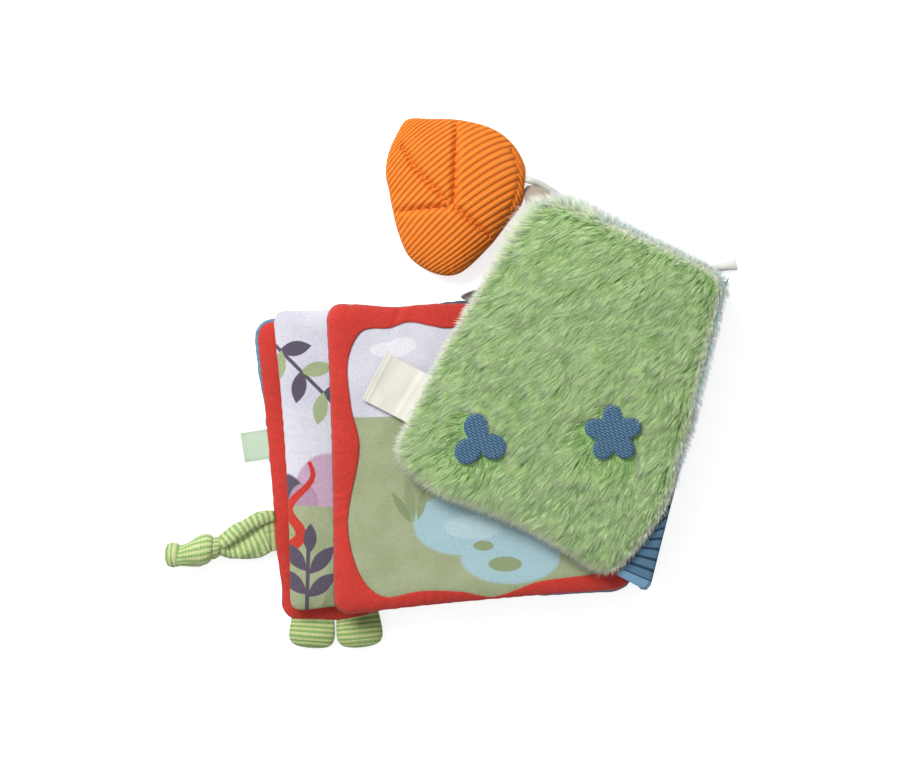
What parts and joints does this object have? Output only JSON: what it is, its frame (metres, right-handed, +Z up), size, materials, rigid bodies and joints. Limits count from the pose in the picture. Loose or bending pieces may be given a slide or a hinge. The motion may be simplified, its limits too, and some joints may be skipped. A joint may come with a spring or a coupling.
{
  "type": "baby activity book",
  "caption": "Soft cloth activity book for a baby, with padded leaves on a corduroy spine, a plush cover, a quilted corduroy leaf on a cord, a knotted tail and feet.",
  "frame": {"origin": "middle of the footprint on the table, without the free cord", "axes": "+X to the spine, across the leaves; +Y to the top edge of the leaves; +Z up from the table"},
  "size_m": [0.3453, 0.319, 0.0466],
  "materials": {
    "blue_corduroy": "ribbed pile",
    "red_cotton": "matte weave",
    "wadding": "soft fibre",
    "satin_cord": "satin",
    "printed_cotton": "printed matte weave",
    "crinkle_film": "crumpled gloss",
    "squeaker_plastic": "smooth",
    "green_plush": "long pile",
    "taupe_lining": "short pile",
    "blue_thread": "satin stitch",
    "label_satin": "satin weave",
    "mint_ribbon": "ribbon weave",
    "striped_jersey": "fine knit",
    "orange_corduroy": "ribbed pile",
    "rattle_plastic": "smooth",
    "bead_plastic": "smooth"
  },
  "bodies": {
    "back_cover": {"back_cover_outer": "blue_corduroy", "back_cover_lining": "red_cotton", "back_cover_wadding": "wadding", "back_spine_flap": "blue_corduroy", "spine_roll_low": "blue_corduroy", "hanging_cord": "satin_cord", "cord_loop": "blue_corduroy"},
    "middle_page": {"middle_page_face": "printed_cotton", "middle_page_reverse": "printed_cotton", "middle_page_wadding": "wadding", "crinkle_film": "crinkle_film", "middle_spine_flap": "blue_corduroy", "spine_roll_middle": "blue_corduroy"},
    "front_page": {"front_page_face": "printed_cotton", "front_page_reverse": "printed_cotton", "front_page_wadding": "wadding", "squeaker": "squeaker_plastic", "front_page_border": "red_cotton", "front_spine_flap": "blue_corduroy"},
    "plush_cover": {"fur_panel": "green_plush", "cover_lining": "taupe_lining", "cover_wadding": "wadding", "stitched_sprig": "blue_thread", "stitched_flower": "blue_thread", "spine_roll_high": "blue_corduroy"},
    "care_label": {"care_label": "label_satin"},
    "side_tag": {"side_tag": "mint_ribbon"},
    "tail": {"tail_tube": "striped_jersey", "tail_knot": "striped_jersey", "tail_knot_turn": "striped_jersey"},
    "left_foot": {"left_foot": "striped_jersey"},
    "right_foot": {"right_foot": "striped_jersey"},
    "leaf_toy": {"leaf_toy_face": "orange_corduroy", "leaf_toy_back": "orange_corduroy", "leaf_toy_filling": "wadding", "rattle_cup_high": "rattle_plastic", "rattle_cup_low": "rattle_plastic", "rattle_bead": "bead_plastic"}
  },
  "joints": [
    {"name": "middle_page_hinge", "type": "hinge", "parent": "back_cover", "child": "middle_page", "pos_m": [0.12718, -0.12483, 0.0233], "axis": [0.23, 0.9732, 0], "range_deg": [0, 180], "deforming": ["spine_roll_low"]},
    {"name": "front_page_hinge", "type": "hinge", "parent": "middle_page", "child": "front_page", "pos_m": [0.12718, -0.12483, 0.0233], "axis": [0.23, 0.9732, 0], "range_deg": [0, 180], "deforming": ["spine_roll_middle"]},
    {"name": "plush_cover_hinge", "type": "hinge", "parent": "front_page", "child": "plush_cover", "pos_m": [0.12718, -0.12483, 0.0233], "axis": [0.23, 0.9732, 0], "range_deg": [0, 180], "deforming": ["spine_roll_high"]},
    {"name": "care_label_flap", "type": "hinge", "parent": "plush_cover", "child": "care_label", "pos_m": [-0.01513, -0.01013, 0.0371], "axis": [0.4586, 0.8886, 0], "range_deg": [0, 70]},
    {"name": "side_tag_flap", "type": "hinge", "parent": "back_cover", "child": "side_tag", "pos_m": [-0.10773, -0.03254, 0.00485], "axis": [-0.1564, 0.9877, 0], "range_deg": [0, 70]},
    {"name": "tail_flap", "type": "hinge", "parent": "back_cover", "child": "tail", "pos_m": [-0.10264, -0.08899, 0.00485], "axis": [-0.0958, 0.9954, 0], "range_deg": [0, 60]},
    {"name": "left_foot_flap", "type": "hinge", "parent": "back_cover", "child": "left_foot", "pos_m": [-0.08185, -0.14103, 0.00485], "axis": [-0.9954, -0.0958, 0], "range_deg": [0, 45]},
    {"name": "right_foot_flap", "type": "hinge", "parent": "back_cover", "child": "right_foot", "pos_m": [-0.05269, -0.13704, 0.00485], "axis": [-0.9954, -0.0958, 0], "range_deg": [0, 45]},
    {"name": "leaf_toy_swing", "type": "hinge", "parent": "back_cover", "child": "leaf_toy", "pos_m": [0.0508, 0.12097, 0.0105], "axis": [0, 0, 1], "range_deg": [-60, 10]}
  ]
}
